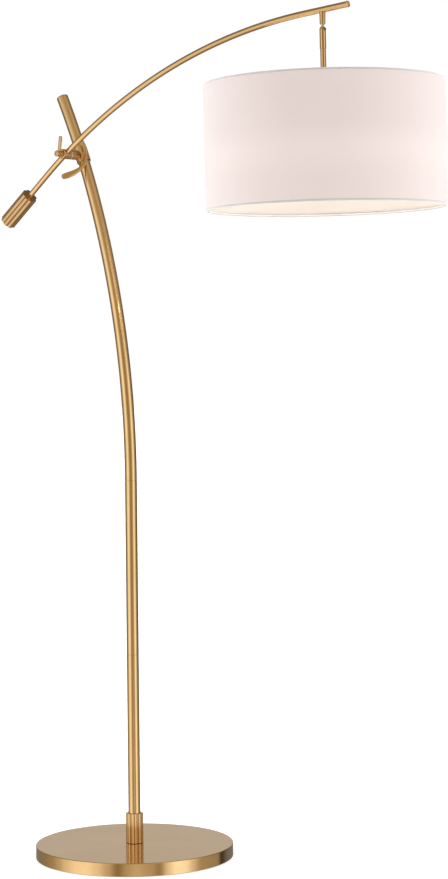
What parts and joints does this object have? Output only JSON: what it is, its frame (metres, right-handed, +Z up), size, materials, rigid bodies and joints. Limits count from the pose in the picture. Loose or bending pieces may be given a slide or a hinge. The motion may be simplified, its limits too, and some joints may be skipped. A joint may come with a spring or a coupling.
{
  "type": "arc floor lamp",
  "caption": "Floor lamp: round weighted base, bowed pole, counterweighted curved boom on a clamp collar, and a swivelling drum shade.",
  "frame": {"origin": "centre of the base's underside, on the floor", "axes": "+Z up; +X towards the shade, in the plane that the pole and the boom bend in; +Y to the side away from the boom"},
  "size_m": [1.1642, 0.4916, 1.7296],
  "materials": {
    "satin_brass": "satin brass plate with a clear lacquer",
    "brushed_brass": "circular-brushed brass plate, semi-gloss lacquer",
    "steel": "plain zinc-plated steel",
    "cast_weight": "rough cast cement filler",
    "black_foam": "matt black foam rubber",
    "nylon": "natural moulded nylon",
    "linen": "off-white plain-weave linen",
    "liner": "white translucent styrene liner",
    "white_wire": "white powder-coated steel wire",
    "phenolic": "black moulded phenolic",
    "frosted_glass": "frosted glass"
  },
  "bodies": {
    "stand": {"base_cover": "brushed_brass", "base_weight": "cast_weight", "base_pad": "black_foam", "cord_bushing": "phenolic", "base_washer": "steel", "base_nut": "steel", "base_nipple": "steel", "base_sleeve": "satin_brass", "pole_foot": "steel", "pole_lower": "satin_brass", "pole_coupler_lower": "steel", "pole_middle": "satin_brass", "pole_coupler_upper": "steel", "pole_upper": "satin_brass", "pole_cap": "satin_brass"},
    "liner": {"collar_liner": "nylon"},
    "collar": {"collar": "satin_brass", "barrel_grub_screw": "steel"},
    "collar_lever": {"collar_clamp_screw": "steel", "collar_lever": "satin_brass"},
    "clamp_head": {"friction_washer": "nylon", "clamp_head": "satin_brass", "pivot_spindle": "steel"},
    "boom_knob": {"boom_clamp_screw": "steel", "boom_knob": "satin_brass"},
    "boom": {"boom_arm": "satin_brass", "boom_tip_cap": "satin_brass", "counterweight": "satin_brass", "boom_end_plug": "steel", "counterweight_screw": "steel", "hanger_stub": "satin_brass", "hanger_nipple": "steel"},
    "ball": {"ball_stud": "satin_brass"},
    "shade": {"swivel_housing": "satin_brass", "swivel_screw": "phenolic", "stem_coupler": "steel", "stem_tube": "satin_brass", "stem_nipple": "steel", "shade_fabric": "linen", "shade_liner": "liner", "shade_trim_top": "linen", "shade_trim_bottom": "linen", "shade_bottom_ring": "white_wire", "shade_spider": "white_wire", "spider_nut": "steel", "socket_cap": "satin_brass", "socket_shell": "satin_brass", "socket_body": "phenolic", "bulb_cap": "steel", "bulb_glass": "frosted_glass"},
    "switch": {"switch_knob": "phenolic"}
  },
  "joints": [
    {"name": "collar_height", "type": "hinge", "parent": "stand", "child": "liner", "pos_m": [-1.796, 0, 0.8], "axis": [0, -1, 0], "range_deg": [-10, 3]},
    {"name": "collar_swivel", "type": "hinge", "parent": "liner", "child": "collar", "pos_m": [-0.14033, 0, 1.49598], "axis": [-0.3875, 0, 0.9219], "range_deg": [-90, 90]},
    {"name": "collar_lever_turn", "type": "hinge", "parent": "collar", "child": "collar_lever", "pos_m": [-0.12706, -0.00862, 1.49288], "axis": [0.7264, -0.6157, 0.3054], "range_deg": [0, 30]},
    {"name": "boom_tilt", "type": "hinge", "parent": "collar", "child": "clamp_head", "pos_m": [-0.14033, -0.048, 1.49598], "axis": [0, -1, 0], "range_deg": [-30, 20]},
    {"name": "boom_knob_turn", "type": "hinge", "parent": "clamp_head", "child": "boom_knob", "pos_m": [-0.14033, -0.048, 1.49598], "axis": [0, -1, 0], "range_deg": [-120, 120]},
    {"name": "boom_slide", "type": "hinge", "parent": "clamp_head", "child": "boom", "pos_m": [0.6129, -0.048, 0.3361], "axis": [0, -1, 0], "range_deg": [-3.5, 12]},
    {"name": "shade_tilt", "type": "hinge", "parent": "boom", "child": "ball", "pos_m": [0.59, -0.048, 1.69259], "axis": [0, -1, 0], "range_deg": [-22, 40]},
    {"name": "shade_turn", "type": "hinge", "parent": "ball", "child": "shade", "pos_m": [0.59, -0.048, 1.69259], "axis": [-0.008, -0.0129, 0.9999], "range_deg": [-170, 170]},
    {"name": "switch_turn", "type": "hinge", "parent": "shade", "child": "switch", "pos_m": [0.59133, -0.04587, 1.52702], "axis": [0.0001, -0.9999, -0.0129], "continuous": true}
  ]
}
